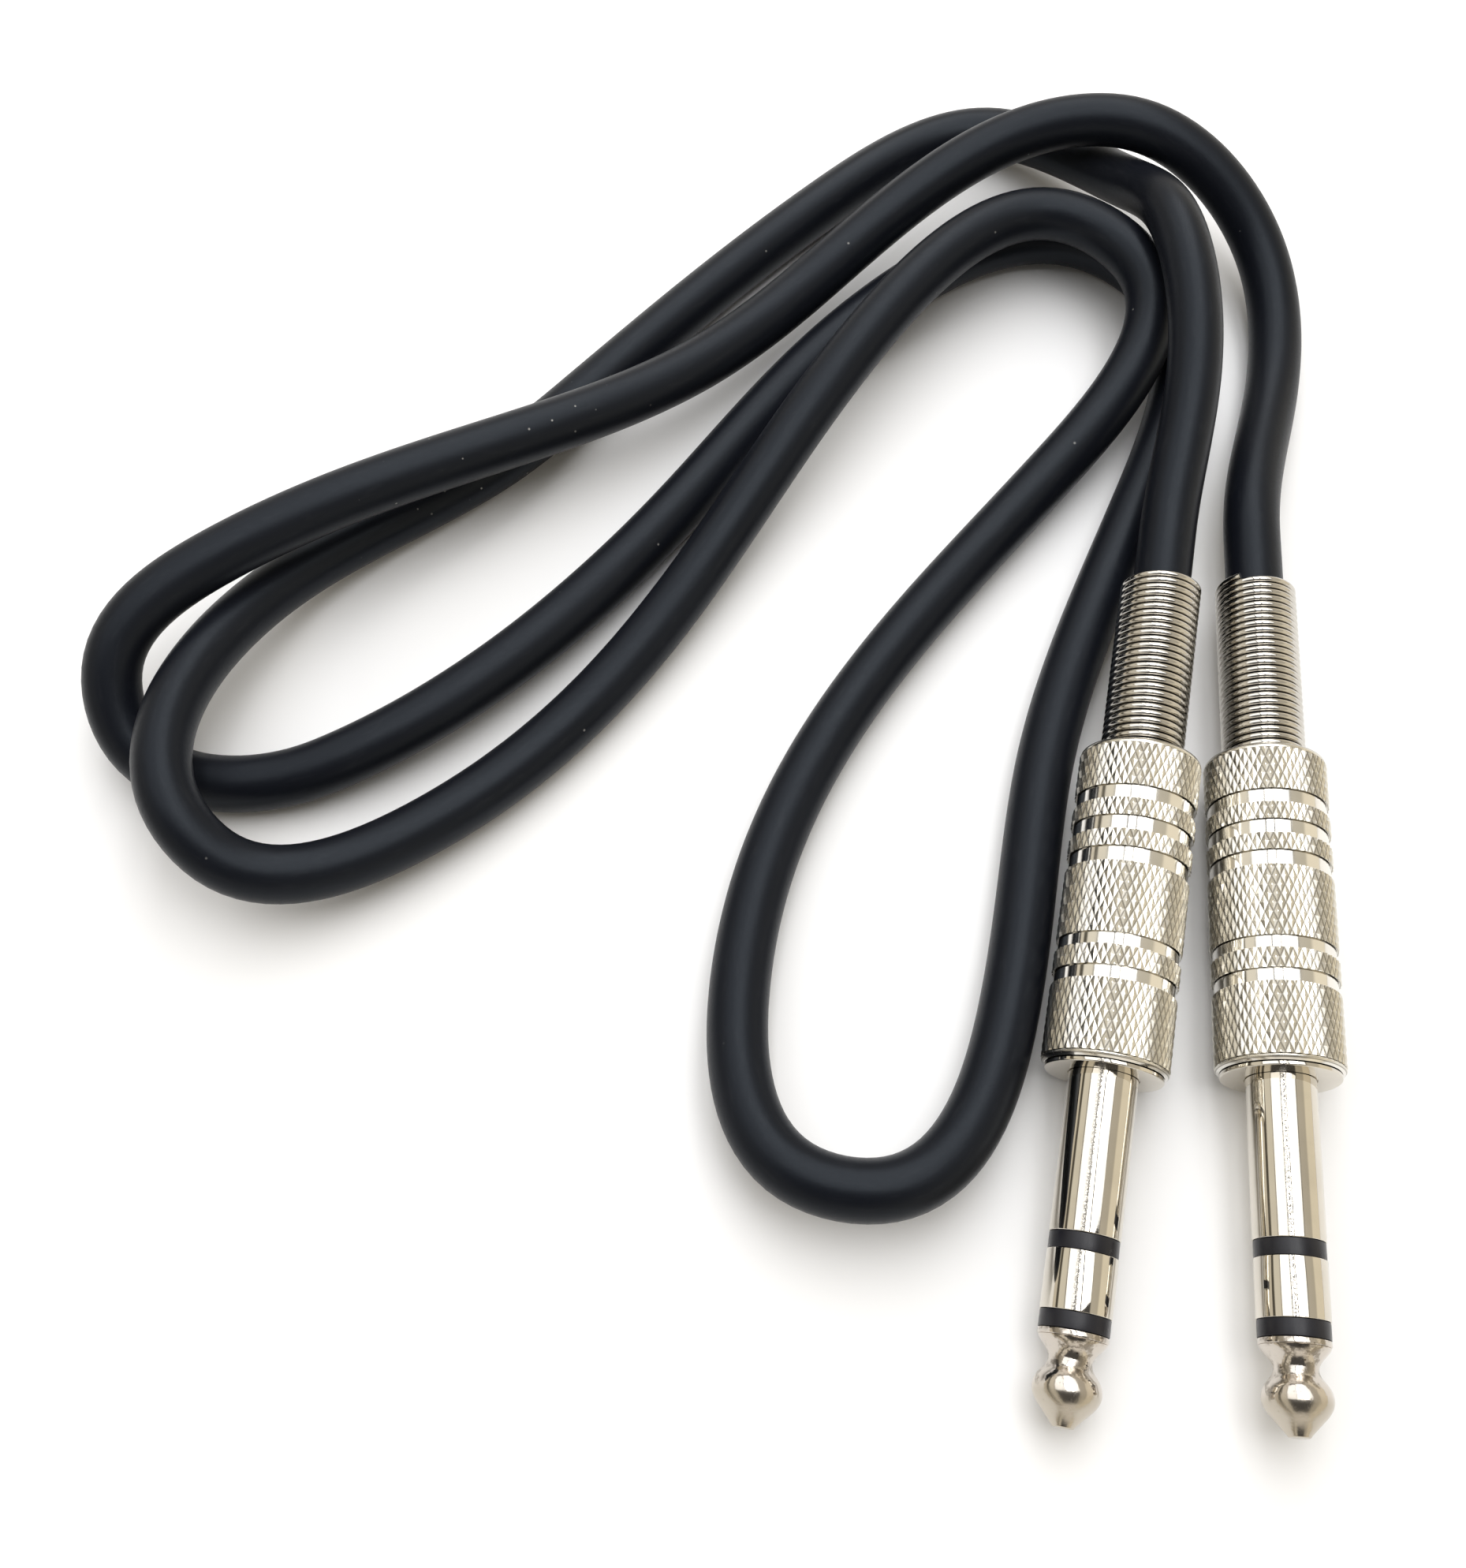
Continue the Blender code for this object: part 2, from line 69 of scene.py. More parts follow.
# Stations along a plug, in millimetres from the tip's end
HINGE_STATION_MM = 31.25
SHANK_RADIUS_MM = 3.175
LIP_BACK_MM = 7.9
RING_FRONT_MM = 9.4
RING_BACK_MM = 14.6
SHANK_FRONT_MM = 16.1
FLANGE_FACE_MM = 30.7
FLANGE_RADIUS_MM = 5.45
COLLAR_BACK_MM = 39.3
COLLAR_RADIUS_MM = 4.35
THREAD_FRONT_MM = 32.5
THREAD_BACK_MM = 38.5
THREAD_HEIGHT_MM = 0.6
THREAD_PITCH_MM = 1.5
BARREL_RADIUS_MM = 5.88
BARREL_FRONT_MM = 31.16
BARREL_BACK_MM = 62.7
TAIL_HOLE_MM = 4.2
GROOVE_RADIUS_MM = 5.62
GROOVES_MM = ((38.5, 39.75), (41.7, 42.9), (49.9, 51.4), (53.1, 54.55), (56.3, 57.7))
SPRING_BACK_MM = {"a": 82.5, "b": 83.2}
SPRING_RADIUS_MM = 4.05
SPRING_WIRE_RADIUS_MM = 0.315
SPRING_PITCH_MM = 0.745
SPRING_SEAT_MM = 58.15
SPRING_SEAT_RADIUS_MM = 4.6
WIRE_END_DEGREES = {"a": 265.0, "b": 52.0}
CABLE_START_MM = 51.4
CABLE_LEAVES_MM = {"a": 89.1, "b": 89.9}

CABLE_RADIUS = 0.0029

# The cable's route from plug a to plug b, the same points as in the CAD model
ROUTE = (
    (0.0075, 0.067, 0.0124), (0.0065, 0.0875, 0.0128), (0.0035, 0.0965, 0.0076),
    (-0.0105, 0.108, 0.0036), (-0.031, 0.0975, 0.003), (-0.059, 0.069, 0.003),
    (-0.068, 0.06, 0.003), (-0.09, 0.0425, 0.0052), (-0.095, 0.0135, 0.0098),
    (-0.0915, 0.0105, 0.008), (-0.073, 0.0155, 0.0038), (-0.0425, 0.05, 0.0052),
    (-0.027, 0.073, 0.009), (-0.003, 0.0895, 0.0088), (0.004, 0.083, 0.0084),
    (-0.0075, 0.0575, 0.004), (-0.0245, 0.0375, 0.003), (-0.0415, -0.0005, 0.0042),
    (-0.0365, -0.019, 0.0064), (-0.028, -0.0205, 0.0064), (-0.016, -0.003, 0.0038),
    (-0.0105, 0.023, 0.003), (0.002, 0.054, 0.003), (0.006, 0.086, 0.003),
    (-0.0005, 0.091, 0.003), (-0.0265, 0.0805, 0.003), (-0.048, 0.054, 0.0032),
    (-0.082, 0.023, 0.0038), (-0.086, 0.0215, 0.0034), (-0.1025, 0.024, 0.0048),
    (-0.1045, 0.031, 0.009), (-0.0945, 0.042, 0.012), (-0.046, 0.0705, 0.0066),
    (-0.0345, 0.0815, 0.0058), (-0.0005, 0.101, 0.0124), (0.004, 0.1, 0.0128),
    (0.019, 0.0875, 0.0058), (0.019, 0.0705, 0.003),
)


# ---------------------------------------------------------------- camera, floor and light

def add_camera():
    """A camera above and in front of the plugs, looking down at 65.5 degrees."""
    data = bpy.data.cameras.new("camera")
    data.sensor_fit = "HORIZONTAL"
    data.sensor_width = 36.0
    data.lens = 40.96
    data.clip_start = 0.005
    camera = bpy.data.objects.new("camera", data)
    camera.location = (-0.0422, -0.0493, 0.1565)
    camera.rotation_euler = (math.radians(24.5), 0.0, 0.0)
    bpy.context.scene.collection.objects.link(camera)
    bpy.context.scene.camera = camera


def add_panel(name, left, right, radiance):
    """One ceiling panel over the object; it shines evenly downwards."""
    front, back, height = -0.17, 1.3, 0.62
    data = bpy.data.lights.new(name, "AREA")
    data.shape = "RECTANGLE"
    data.size = right - left
    data.size_y = back - front
    data.energy = radiance * math.pi * data.size * data.size_y
    light = bpy.data.objects.new(name, data)
    light.location = ((left + right) / 2, (front + back) / 2, height)
    bpy.context.scene.collection.objects.link(light)


def add_light():
    """A white panelled ceiling behind the object, in a room with pale walls."""
    add_panel("ceiling_left", -0.665, -0.197, 1.7)
    add_panel("ceiling_middle", -0.16, -0.018, 4.2)
    add_panel("ceiling_right", 0.018, 0.2, 4.2)
    add_panel("ceiling_far_right", 0.202, 0.358, 1.7)
    bpy.context.scene.world = room()
    bpy.context.scene.view_settings.view_transform = "Standard"


def room():
    """Wall and ceiling colours by direction: angles run from overhead towards +X."""
    world = bpy.data.worlds.new("room")
    world.use_nodes = True
    nodes = world.node_tree.nodes
    links = world.node_tree.links
    parts = nodes.new("ShaderNodeSeparateXYZ")
    links.new(nodes.new("ShaderNodeTexCoord").outputs["Generated"], parts.inputs[0])
    angle = nodes.new("ShaderNodeMath")
    angle.operation = "ARCTAN2"
    links.new(parts.outputs["X"], angle.inputs[0])
    links.new(parts.outputs["Z"], angle.inputs[1])
    share = nodes.new("ShaderNodeMapRange")
    share.inputs["From Min"].default_value = -math.pi / 2
    share.inputs["From Max"].default_value = math.pi / 2
    links.new(angle.outputs[0], share.inputs["Value"])
    ramp = nodes.new("ShaderNodeValToRGB")
    links.new(share.outputs[0], ramp.inputs[0])
    stops = (
        (-90, (0.72, 0.65, 0.53)), (-80, (0.72, 0.65, 0.53)), (-78, (0.10, 0.09, 0.07)),
        (-72, (0.10, 0.09, 0.07)), (-69, (0.84, 0.78, 0.66)), (-52, (0.82, 0.76, 0.64)),
        (-46, (0.09, 0.085, 0.08)), (29, (0.09, 0.085, 0.08)), (34, (0.60, 0.55, 0.46)),
        (56, (0.58, 0.53, 0.43)), (61, (0.92, 0.83, 0.66)), (90, (0.92, 0.83, 0.66)),
    )
    elements = ramp.color_ramp.elements
    elements.remove(elements[1])
    for number, (degrees, colour) in enumerate(stops):
        element = elements[0] if number == 0 else elements.new((degrees + 90) / 180)
        element.position = (degrees + 90) / 180
        element.color = (*colour, 1.0)
    reach = nodes.new("ShaderNodeMath")
    reach.operation = "ABSOLUTE"
    links.new(parts.outputs["Y"], reach.inputs[0])
    end_wall = nodes.new("ShaderNodeMapRange")
    end_wall.inputs["From Min"].default_value = 0.90
    end_wall.inputs["From Max"].default_value = 0.97
    links.new(reach.outputs[0], end_wall.inputs["Value"])
    blend = nodes.new("ShaderNodeMix")
    blend.data_type = "RGBA"
    links.new(end_wall.outputs[0], blend.inputs[0])
    links.new(ramp.outputs[0], blend.inputs[6])
    blend.inputs[7].default_value = (0.92, 0.86, 0.77, 1.0)
    links.new(blend.outputs[2], nodes["Background"].inputs["Color"])
    return world


def add_floor():
    size = 1.6
    shape = bmesh.new()
    bmesh.ops.create_grid(shape, x_segments=2, y_segments=2, size=size)
    mesh = bpy.data.meshes.new("floor")
    shape.to_mesh(mesh)
    shape.free()
    floor = bpy.data.objects.new("floor", mesh)
    floor.location.z = cad_box[0][2] - 0.00002
    bpy.context.scene.collection.objects.link(floor)
    mesh.materials.append(floor_material())


# ---------------------------------------------------------------- materials

class Finish:
    """A Principled material and short ways to add nodes to it."""

    def __init__(self, name, colour, roughness, metallic=0.0):
        self.material = bpy.data.materials.new(name)
        self.material.use_nodes = True
        self.tree = self.material.node_tree
        self.shader = self.tree.nodes["Principled BSDF"]
        self.set("Base Color", (*colour, 1.0))
        self.set("Roughness", roughness)
        self.set("Metallic", metallic)

    def put(self, socket, value):
        if isinstance(value, bpy.types.NodeSocket):
            self.tree.links.new(value, socket)
        else:
            socket.default_value = value

    def set(self, name, value):
        self.put(self.shader.inputs[name], value)

    def node(self, kind, inputs=None, **settings):
        made = self.tree.nodes.new(kind)
        for name, value in settings.items():
            setattr(made, name, value)
        for name, value in (inputs or {}).items():
            self.put(made.inputs[name], value)
        return made

    def math(self, operation, first, second=0.0, third=0.0, clamp=False):
        made = self.node("ShaderNodeMath", {0: first, 1: second, 2: third}, operation=operation)
        made.use_clamp = clamp
        return made.outputs[0]

    def place(self):
        """Coordinates in the piece's own frame: on a plug, Z runs along its axis."""
        return self.node("ShaderNodeTexCoord").outputs["Object"]

    def stretched(self, vector, scale):
        return self.node("ShaderNodeMapping", {"Vector": vector, "Scale": scale}).outputs[0]

    def noise(self, vector, scale, detail=3.0, roughness=0.55):
        inputs = {"Vector": vector, "Scale": scale, "Detail": detail, "Roughness": roughness}
        return self.node("ShaderNodeTexNoise", inputs).outputs[0]

    def cells(self, vector, scale, output="Distance"):
        return self.node("ShaderNodeTexVoronoi", {"Vector": vector, "Scale": scale}).outputs[output]

    def between(self, value, low, high, out_low=0.0, out_high=1.0):
        """Map low..high to out_low..out_high, clamped."""
        names = ("Value", "From Min", "From Max", "To Min", "To Max")
        inputs = dict(zip(names, (value, low, high, out_low, out_high)))
        return self.node("ShaderNodeMapRange", inputs).outputs[0]

    def mix(self, factor, first, second):
        """Blend two colours."""
        made = self.node("ShaderNodeMix", data_type="RGBA")
        self.put(made.inputs[0], factor)
        for index, colour in ((6, first), (7, second)):
            if isinstance(colour, tuple):
                colour = (*colour, 1.0)
            self.put(made.inputs[index], colour)
        return made.outputs[2]

    def bump(self, height, distance, strength=1.0, under=None):
        inputs = {"Height": height, "Distance": distance, "Strength": strength}
        made = self.node("ShaderNodeBump", inputs)
        if under:
            self.put(made.inputs["Normal"], under)
        return made.outputs[0]


def floor_material():
    """Matt white board with faint specks and scuffs."""
    finish = Finish("white_board", (0.9, 0.9, 0.9), 0.5)
    place = finish.place()
    cloud = finish.noise(place, 14.0, 3.0)
    speck = finish.between(finish.cells(place, 110.0), 0.05, 0.03)
    rare = finish.between(finish.cells(place, 110.0, "Color"), 0.86, 0.9)
    speck = finish.math("MULTIPLY", speck, rare)
    colour = finish.mix(cloud, (0.89, 0.89, 0.90), (0.93, 0.93, 0.93))
    finish.set("Base Color", finish.mix(speck, colour, (0.5, 0.5, 0.5)))
    finish.set("Roughness", finish.between(cloud, 0.3, 0.7, 0.42, 0.6))
    finish.set("Normal", finish.bump(finish.noise(place, 900.0, 4.0), 0.00003, 0.4))
    return finish.material


def nickel_material(name, tint, roughness, scratch=0.5, wear_line=False, tip_pits_and_shade=False,
                    knurl_satin_and_shade=False):
    """Polished nickel plate: turning marks round the axis, fine scratches and thin oxide patches; on
    the barrel, painted shade in the knurl's valleys and recesses; on the tip, painted shade on the
    nose cone and a painted dark reflection round the ball.
    """
    finish = Finish(name, tint, roughness, 1.0)
    place = finish.place()
    cloud = finish.noise(place, 160.0, 4.0)
    darker = tuple(part * 0.78 for part in tint)
    colour = finish.mix(finish.between(cloud, 0.45, 0.75, 0.0, 0.5), tint, darker)
    scuffs = finish.noise(finish.stretched(place, (1.0, 1.0, 0.06)), 4200.0, 2.0)
    marks = finish.noise(finish.stretched(place, (0.02, 0.02, 1.0)), 9000.0, 2.0)
    rough = finish.between(cloud, 0.35, 0.7, roughness * 0.75, roughness * 1.35)
    rough = finish.math("ADD", rough, finish.between(scuffs, 0.62, 0.75, 0.0, 0.18 * scratch))
    if wear_line:
        parts = finish.node("ShaderNodeSeparateXYZ", {0: place}).outputs
        angle = finish.math("ARCTAN2", parts[1], parts[0])
        away = finish.math("ABSOLUTE", finish.math("SUBTRACT", angle, math.radians(77)))
        strip = finish.between(away, 0.0, 0.11, 1.0, 0.0)
        grit = finish.between(finish.noise(place, 6500.0, 2.0), 0.45, 0.53)
        worn = finish.math("MULTIPLY", strip, grit)
        colour = finish.mix(worn, colour, (0.09, 0.085, 0.08))
        rough = finish.math("ADD", rough, finish.math("MULTIPLY", worn, 0.35))
    if knurl_satin_and_shade:
        parts = finish.node("ShaderNodeSeparateXYZ", {0: place}).outputs
        squares = [finish.math("POWER", parts[axis], 2.0) for axis in (0, 1)]
        radius = finish.math("SQRT", finish.math("ADD", *squares))
        knurled = finish.between(radius, 0.00568, 0.00572)
        rough = finish.math("ADD", rough, finish.math("MULTIPLY", knurled, 0.11))
        colour = finish.mix(knurled, colour, (0.72, 0.69, 0.62))
        # painted shade: the knurl's valley floors are darkened, deepest at the bottom of each cut
        # between the diamonds
        cut = finish.between(radius, 0.005755, 0.005795, 0.75, 0.0)
        colour = finish.mix(finish.math("MULTIPLY", knurled, cut), colour, (0.20, 0.185, 0.155))
        # painted shade: every barrel surface below 5.0 to 5.5 mm radius (groove undercuts, bore, tail
        # hole, inner faces) is darkened as if shade fell there
        painted_recess_shade = finish.between(radius, 0.0050, 0.0055, 1.0, 0.0)
        colour = finish.mix(painted_recess_shade, colour, (0.10, 0.09, 0.075))
    if tip_pits_and_shade:
        pit = finish.between(finish.cells(place, 1300.0), 0.16, 0.08)
        some = finish.between(finish.cells(place, 1300.0, "Color"), 0.72, 0.78)
        pit = finish.math("MULTIPLY", pit, some)
        colour = finish.mix(pit, colour, (0.22, 0.18, 0.14))
        # oxide spots and painted dark reflection: noise patches kept to a band round the ball's widest
        # part, 2.4 to 3.4 mm from the tip's end
        oxide_and_dark_reflection = finish.between(finish.noise(place, 620.0, 5.0, 0.7), 0.52, 0.60, 0.0, 0.7)
        along = finish.node("ShaderNodeSeparateXYZ", {0: place}).outputs[2]
        waist = finish.between(along, 0.0024, 0.0034)
        oxide_and_dark_reflection = finish.math("MULTIPLY", oxide_and_dark_reflection, waist)
        colour = finish.mix(oxide_and_dark_reflection, colour, (0.20, 0.17, 0.13))
        # painted shade: the nose and front of the ball are darkened evenly, standing for the shaded
        # floor they reflect; their roughness is raised too
        cone = finish.between(along, 0.0026, 0.0034, 0.8, 0.0)
        colour = finish.mix(cone, colour, (0.50, 0.455, 0.38))
        rough = finish.math("ADD", rough, finish.math("MULTIPLY", cone, 0.12))
        rough = finish.math("ADD", rough, finish.math("MULTIPLY", oxide_and_dark_reflection, 0.15))
    finish.set("Base Color", colour)
    finish.set("Roughness", rough)
    height = finish.math("ADD", marks, finish.math("MULTIPLY", scuffs, 0.5))
    normal = finish.bump(height, 0.000002, 0.35)
    if tip_pits_and_shade:
        normal = finish.bump(finish.noise(place, 900.0, 3.0), 0.00006, 0.5, normal)
    finish.set("Normal", normal)
    return finish.material


def insulator_material():
    """Dark blue-grey moulded plastic."""
    finish = Finish("dark_insulator", (0.008, 0.008, 0.011), 0.35)
    finish.set("Specular IOR Level", 0.35)
    place = finish.place()
    cloud = finish.noise(place, 500.0, 3.0)
    finish.set("Base Color", finish.mix(cloud, (0.006, 0.006, 0.009), (0.013, 0.013, 0.018)))
    finish.set("Roughness", finish.between(cloud, 0.3, 0.7, 0.24, 0.42))
    finish.set("Normal", finish.bump(finish.noise(place, 3500.0, 3.0), 0.00001, 0.5))
    return finish.material


def jacket_material():
    """Soft black extruded jacket: a matt skin with faint draw lines, dust and a few nicks."""
    finish = Finish("black_jacket", (0.006, 0.007, 0.010), 0.42)
    finish.set("Specular IOR Level", 0.2)
    finish.set("Specular Tint", (0.80, 0.90, 1.0, 1.0))
    place = finish.place()
    along = finish.node("ShaderNodeTexCoord").outputs["UV"]
    cloud = finish.noise(place, 45.0, 4.0)
    grain = finish.noise(place, 3000.0, 3.0)
    lines = finish.noise(finish.stretched(along, (12.0, 1.0, 1.0)), 26.0, 3.0)
    colour = finish.mix(cloud, (0.0035, 0.0042, 0.0068), (0.0075, 0.0085, 0.0125))
    bloom = finish.between(lines, 0.55, 0.8, 0.0, 0.35)
    colour = finish.mix(bloom, colour, (0.018, 0.019, 0.023))
    dust = finish.between(finish.cells(place, 420.0), 0.075, 0.03)
    rare = finish.between(finish.cells(place, 420.0, "Color"), 0.80, 0.86)
    dust = finish.math("MULTIPLY", dust, rare)
    nick = finish.between(finish.cells(place, 900.0), 0.14, 0.06)
    patch = scuff_patch(finish, place)
    some = finish.between(finish.cells(place, 900.0, "Color"), 0.72, 0.8)
    nick = finish.math("MULTIPLY", finish.math("MULTIPLY", nick, patch), some)
    specks = finish.math("MAXIMUM", finish.math("MULTIPLY", dust, 0.55), nick, clamp=True)
    finish.set("Base Color", finish.mix(specks, colour, (0.42, 0.41, 0.39)))
    rough = finish.between(cloud, 0.3, 0.7, 0.32, 0.42)
    finish.set("Roughness", finish.math("ADD", rough, finish.between(grain, 0.4, 0.8, 0.0, 0.08)))
    height = finish.math("ADD", grain, finish.math("MULTIPLY", lines, 0.6))
    finish.set("Normal", finish.bump(height, 0.000012, 0.55))
    return finish.material


def scuff_patch(finish, place):
    """1 near the scuffed stretch on top of the left outer loop, 0 away from it."""
    offset = finish.node("ShaderNodeVectorMath", {0: place, 1: (-0.068, 0.0575, 0.012)},
                         operation="DISTANCE")
    return finish.between(offset.outputs["Value"], 0.006, 0.02, 1.0, 0.0)


def plain_finish(name, colour, roughness, metallic, grain_scale=1500.0):
    """A worn version of a simple finish, for the pieces inside the barrels."""
    finish = Finish(name, colour, roughness, metallic)
    place = finish.place()
    cloud = finish.noise(place, 240.0, 4.0)
    darker = tuple(part * 0.7 for part in colour)
    finish.set("Base Color", finish.mix(finish.between(cloud, 0.35, 0.75), colour, darker))
    finish.set("Roughness", finish.between(cloud, 0.3, 0.7, roughness * 0.8, roughness * 1.3))
    grain = finish.noise(place, grain_scale, 3.0)
    finish.set("Normal", finish.bump(grain, 0.00001, 0.4))
    return finish.material


# ---------------------------------------------------------------- plug frames and turned shapes

def plug_frame(plug):
    """Matrix of a plug: +Z back along its axis, +Y up, origin at the tip's end."""
    hinge = next(joint for joint in frame["joints"] if joint["name"] == f"barrel_unscrew_{plug}")
    axis = Vector(hinge["axis"]).normalized()
    tip = Vector(hinge["pos_m"]) - axis * HINGE_STATION_MM * MM
    side = Vector((0, 0, 1)).cross(axis).normalized()
    up = axis.cross(side)
    return Matrix.Translation(tip) @ Matrix((side, up, axis)).transposed().to_4x4()


def link_piece(name, mesh, material, plug, sharp_degrees=28):
    """Put a mesh made in a plug's frame into the scene."""
    mesh.materials.clear()
    mesh.materials.append(material)
    mesh.shade_smooth()
    mesh.set_sharp_from_angle(angle=math.radians(sharp_degrees))
    piece = bpy.data.objects.new(name, mesh)
    piece.matrix_world = plug_frame(plug)
    bpy.context.scene.collection.objects.link(piece)
    return piece


def mesh_from(name, points, faces):
    """A mesh with merged corners and faces pointing out, from points in millimetres."""
    mesh = bpy.data.meshes.new(name)
    mesh.from_pydata([tuple(value * MM for value in point) for point in points], [], faces)
    shape = bmesh.new()
    shape.from_mesh(mesh)
    bmesh.ops.remove_doubles(shape, verts=shape.verts, dist=1e-7)
    bmesh.ops.recalc_face_normals(shape, faces=shape.faces)
    shape.to_mesh(mesh)
    shape.free()
    return mesh


def arc(along, radius, size, start, end, steps=5):
    """Outline points on an arc; angles in degrees, 0 towards the cable, 90 outwards."""
    points = []
    for step in range(steps + 1):
        angle = math.radians(start + (end - start) * step / steps)
        points.append((along + size * math.cos(angle), radius + size * math.sin(angle)))
    return points


def flowing(points, steps=6):
    """A smooth outline through the points (Catmull-Rom)."""
    ends = [points[0], *points, points[-1]]
    result = []
    for before, start, end, after in zip(ends, ends[1:], ends[2:], ends[3:]):
        for step in range(steps):
            t = step / steps
            result.append(tuple(
                0.5 * (2 * b + (c - a) * t + (2 * a - 5 * b + 4 * c - d) * t * t
                       + (3 * b - a - 3 * c + d) * t ** 3)
                for a, b, c, d in zip(before, start, end, after)))
    result.append(points[-1])
    return result


def turned_mesh(name, outline, segments=128, radius_change=None):
    """Turn a closed outline of (along, radius) points round the axis."""
    points = []
    for step in range(segments):
        angle = math.tau * step / segments
        for along, radius in outline:
            if radius_change:
                radius += radius_change(along, radius, angle)
            points.append((radius * math.cos(angle), radius * math.sin(angle), along))
    count = len(outline)
    faces = []
    for step in range(segments):
        this, following = step * count, (step + 1) % segments * count
        for i in range(count):
            j = (i + 1) % count
            if outline[i][1] == 0 and outline[j][1] == 0:
                continue
            faces.append((this + i, this + j, following + j, following + i))
    return mesh_from(name, points, faces)


# ---------------------------------------------------------------- the plugs' pieces

def tip_outline():
    """Nose cone with a crisp crease, round ball, waisted neck and a plain lip."""
    nose = [(0.0, 0.0)] + arc(0.22, 0.80, 0.22, 180, 100, 5) + [(1.3, 2.05)]
    body = flowing([(1.4, 2.15), (1.75, 2.46), (2.15, 2.74), (2.6, 2.94), (3.05, 3.01),
                    (3.45, 2.97), (3.95, 2.80), (4.4, 2.49), (4.85, 2.12), (5.2, 1.95),
                    (5.5, 1.9), (5.85, 1.98), (6.3, 2.26), (6.75, 2.66), (7.08, 2.92),
                    (7.3, 3.02)], 4)
    lip = arc(7.45, 2.98, 0.12, 180, 90, 3) + arc(LIP_BACK_MM - 0.13, 2.98, 0.12, 90, 0, 3)
    rod = [(LIP_BACK_MM, 0.55), (43.8, 0.55), (43.8, 0.0)]
    return nose + body + lip + rod


def banded_outline(front, back, radius, bore, tube_back, edge=0.06):
    """A band on the shank with softened edges, and its thin tube running back inside."""
    tube = bore + 0.35
    return ([(front, bore)] + arc(front + edge, radius - edge, edge, 180, 90, 3)
            + arc(back - edge, radius - edge, edge, 90, 0, 3)
            + [(back, tube), (tube_back, tube), (tube_back, bore)])


def thread_height(along, radius, angle):
    """How far the collar's surface stands out: a helical ridge with faded ends."""
    start, end = THREAD_FRONT_MM, THREAD_BACK_MM
    turn = (angle / math.tau) % 1.0
    on_collar = abs(radius - COLLAR_RADIUS_MM) <= 0.05
    if not on_collar or not start - 0.2 < along < end + 0.5:
        return 0.0
    phase = ((along - start) / THREAD_PITCH_MM - turn + 0.5) % 1.0 - 0.5
    distance = abs(phase) * THREAD_PITCH_MM
    fade = min(1.0, max(0.0, (along - start + 0.2) / 0.4), max(0.0, (end + 0.5 - along) / 0.4))
    return THREAD_HEIGHT_MM * fade * min(1.0, max(0.0, (0.29 - distance) / 0.21))


def sleeve_outline():
    """Shank, a fine joint line, flange and the threaded collar."""
    bore = 2.4
    outline = [(SHANK_FRONT_MM + 0.03, bore)]
    outline += arc(SHANK_FRONT_MM + 0.11, SHANK_RADIUS_MM - 0.08, 0.08, 180, 90, 3)
    outline += [(FLANGE_FACE_MM - 6 + step, SHANK_RADIUS_MM) for step in range(6)]
    outline += [(FLANGE_FACE_MM + 0.12, SHANK_RADIUS_MM), (FLANGE_FACE_MM + 0.12, 3.3)]
    outline += [(FLANGE_FACE_MM, 3.3)]
    outline += arc(FLANGE_FACE_MM + 0.13, FLANGE_RADIUS_MM - 0.13, 0.13, 180, 90, 4)
    outline += [(31.05, FLANGE_RADIUS_MM), (31.05, COLLAR_RADIUS_MM)]
    rows = 56
    outline += [(31.2 + (COLLAR_BACK_MM - 31.35) * row / rows, COLLAR_RADIUS_MM)
                for row in range(rows + 1)]
    outline += [(COLLAR_BACK_MM, 4.2), (COLLAR_BACK_MM, bore)]
    return outline


# Diamond knurling: how many diamonds round the barrel, their length and the depth of the cuts
KNURL_COUNT = 46
KNURL_LENGTH_MM = 1.77
KNURL_DEPTH_MM = 0.13
KNURL_SLOPE = 0.43


def knurled_band(front, back):
    """The knurled skin of one band: diamonds laid out flat, trimmed, then wrapped round.

    Flat coordinates are (turns, along, height). Each diamond has a flat top and four slopes.
    """
    shape = bmesh.new()
    half = KNURL_LENGTH_MM / 2
    rows = range(math.floor(front / half) - 1, math.ceil(back / half) + 2)
    found = {}

    def corner(u, v, height):
        key = (round(u, 4), round(v, 4), height)
        if key not in found:
            found[key] = shape.verts.new(((u + v) / 2 / KNURL_COUNT, (u - v) * half, height))
        return found[key]

    for row in rows:
        for column in range(-1, KNURL_COUNT + 1):
            u, v = (column * 2 + row % 2 + row) / 2, (column * 2 + row % 2 - row) / 2
            low = [corner(u + a, v + b, -KNURL_DEPTH_MM) for a, b in ((0, 0), (1, 0), (1, 1), (0, 1))]
            s, t = KNURL_SLOPE, 1 - KNURL_SLOPE
            top = [corner(u + a, v + b, 0.0) for a, b in ((s, s), (t, s), (t, t), (s, t))]
            shape.faces.new(top)
            for i in range(4):
                j = (i + 1) % 4
                shape.faces.new((low[i], low[j], top[j], top[i]))
    for point, normal in (((0, front, 0), (0, -1, 0)), ((0, back, 0), (0, 1, 0)),
                          ((0, 0, 0), (-1, 0, 0)), ((1, 0, 0), (1, 0, 0))):
        everything = shape.verts[:] + shape.edges[:] + shape.faces[:]
        bmesh.ops.bisect_plane(shape, geom=everything, plane_co=point, plane_no=normal,
                               clear_outer=True, dist=1e-6)
    close_band_ends(shape, front, back)
    return shape


def close_band_ends(shape, front, back):
    """Walls from the knurl's cut edges down to the core that it was cut on."""
    floor = -KNURL_DEPTH_MM - 0.01
    for station in (front, back):
        edge_line = [edge for edge in shape.edges if edge.is_boundary
                     and all(abs(vert.co.y - station) < 1e-5 for vert in edge.verts)]
        made = bmesh.ops.extrude_edge_only(shape, edges=edge_line)["geom"]
        for item in made:
            if isinstance(item, bmesh.types.BMVert):
                item.co.z = floor


